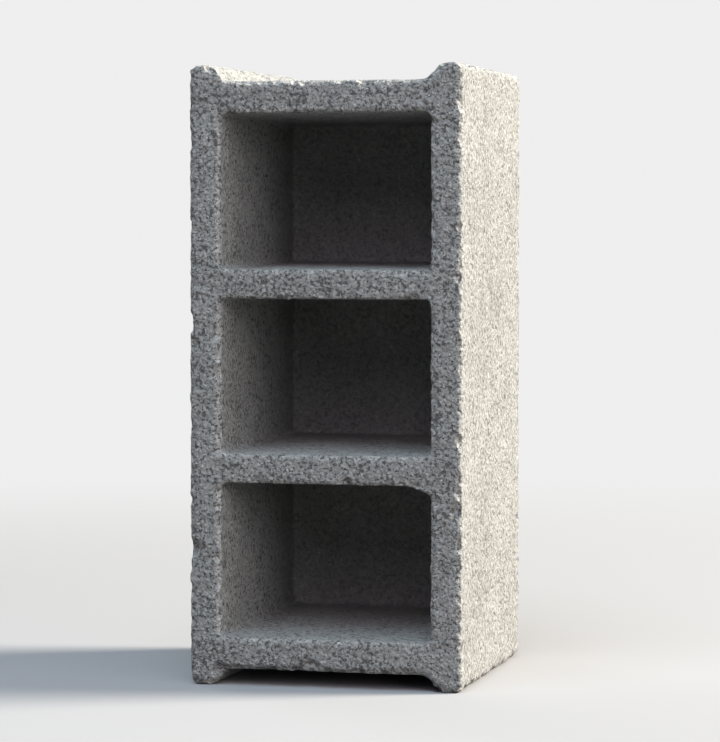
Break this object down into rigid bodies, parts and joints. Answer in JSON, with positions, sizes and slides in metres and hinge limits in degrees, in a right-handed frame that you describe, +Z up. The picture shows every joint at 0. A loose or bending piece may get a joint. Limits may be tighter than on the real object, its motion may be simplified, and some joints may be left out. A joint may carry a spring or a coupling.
{
  "type": "hollow concrete block",
  "caption": "Grey hollow concrete masonry block standing on end, its cells open at the front bed and closed at the back, with a mortar groove down each end.",
  "frame": {"origin": "middle of the foot: the centre of the bounding box's bottom, on the floor the block stands on", "axes": "+Z up along the block's length, +X across the face shells, -Y out of the open bed, where the cells open"},
  "size_m": [0.18, 0.19, 0.4],
  "materials": {
    "concrete": "rough, open-grained and unpainted"
  },
  "bodies": {
    "root": {"hollow_block": "concrete"}
  },
  "joints": []
}
